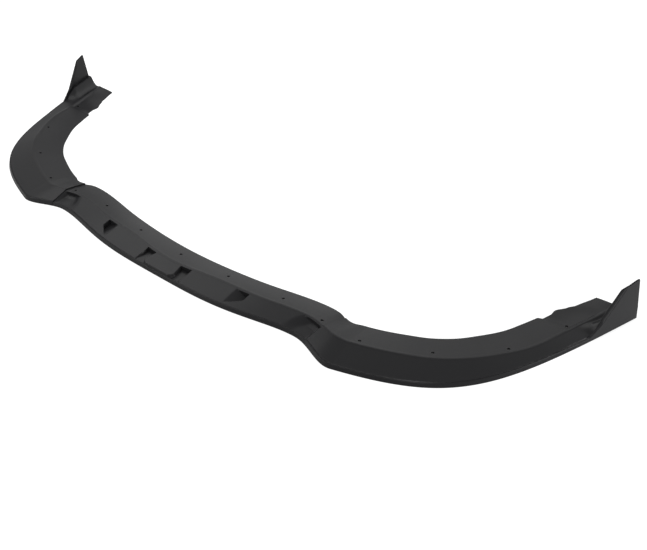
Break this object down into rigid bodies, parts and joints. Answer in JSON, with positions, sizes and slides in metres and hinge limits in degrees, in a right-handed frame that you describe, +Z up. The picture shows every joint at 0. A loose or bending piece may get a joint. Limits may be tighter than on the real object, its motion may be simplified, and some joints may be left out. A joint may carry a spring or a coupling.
{
  "type": "front splitter lip",
  "caption": "Under-bumper front splitter lip in black plastic: a bowed centre section with screw flange, lapped by swept wings that end in upright fins.",
  "frame": {"origin": "Centre of the footprint of the bounding box, on the level of the front lip's underside.", "axes": "+X across the car towards the wing on the right of the picture, -Y forward to the front edge, +Z up."},
  "size_m": [1.822, 0.556, 0.111],
  "materials": {
    "black_plastic": "satin black moulded plastic with a fine grain"
  },
  "bodies": {
    "root": {"centre_section": "black_plastic", "wing_left": "black_plastic", "wing_right": "black_plastic"}
  },
  "joints": []
}
